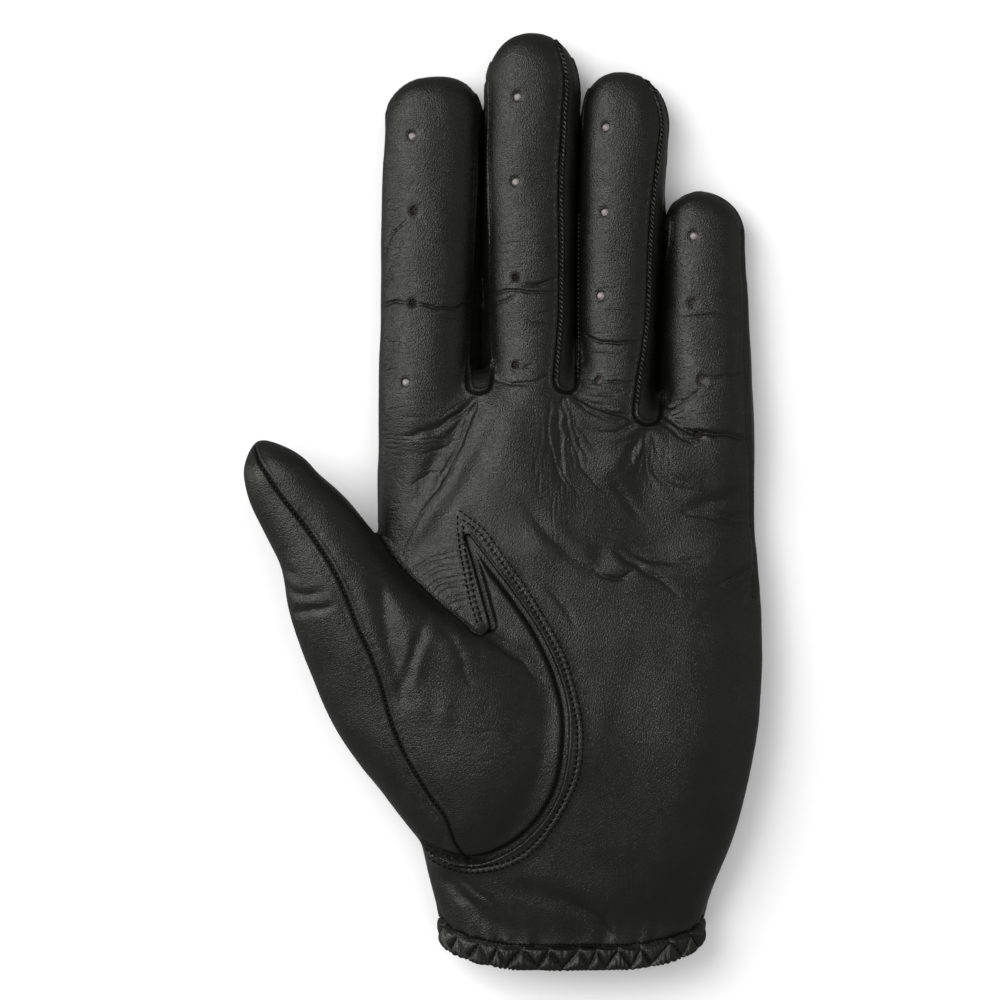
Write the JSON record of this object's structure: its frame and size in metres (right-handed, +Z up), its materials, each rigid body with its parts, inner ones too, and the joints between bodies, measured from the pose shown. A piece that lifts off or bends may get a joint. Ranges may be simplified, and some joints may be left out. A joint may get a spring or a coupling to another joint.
{
  "type": "driving glove",
  "caption": "Left-hand leather driving glove lying palm up, hollow, with side forks between the fingers, a set-in thumb, punched fingers and a gathered wrist",
  "frame": {"origin": "on the surface that the glove lies on, below the middle of the glove", "axes": "+Y from the wrist to the fingertips, +X from the thumb side to the little finger side, +Z up out of the palm"},
  "size_m": [0.1294, 0.233, 0.0317],
  "materials": {
    "leather": "soft semi-matt black sheepskin with a fine pebbled grain",
    "hem_leather": "the same hide, gathered over a narrow elastic",
    "lining": "thin matt knitted lining, pale warm grey"
  },
  "bodies": {
    "root": {"trank": "leather", "thumb": "leather", "fork_index_middle": "leather", "fork_middle_ring": "leather", "fork_ring_little": "leather", "wrist_hem": "hem_leather", "lining_index": "lining", "lining_middle": "lining", "lining_ring": "lining", "lining_little": "lining"}
  },
  "joints": []
}
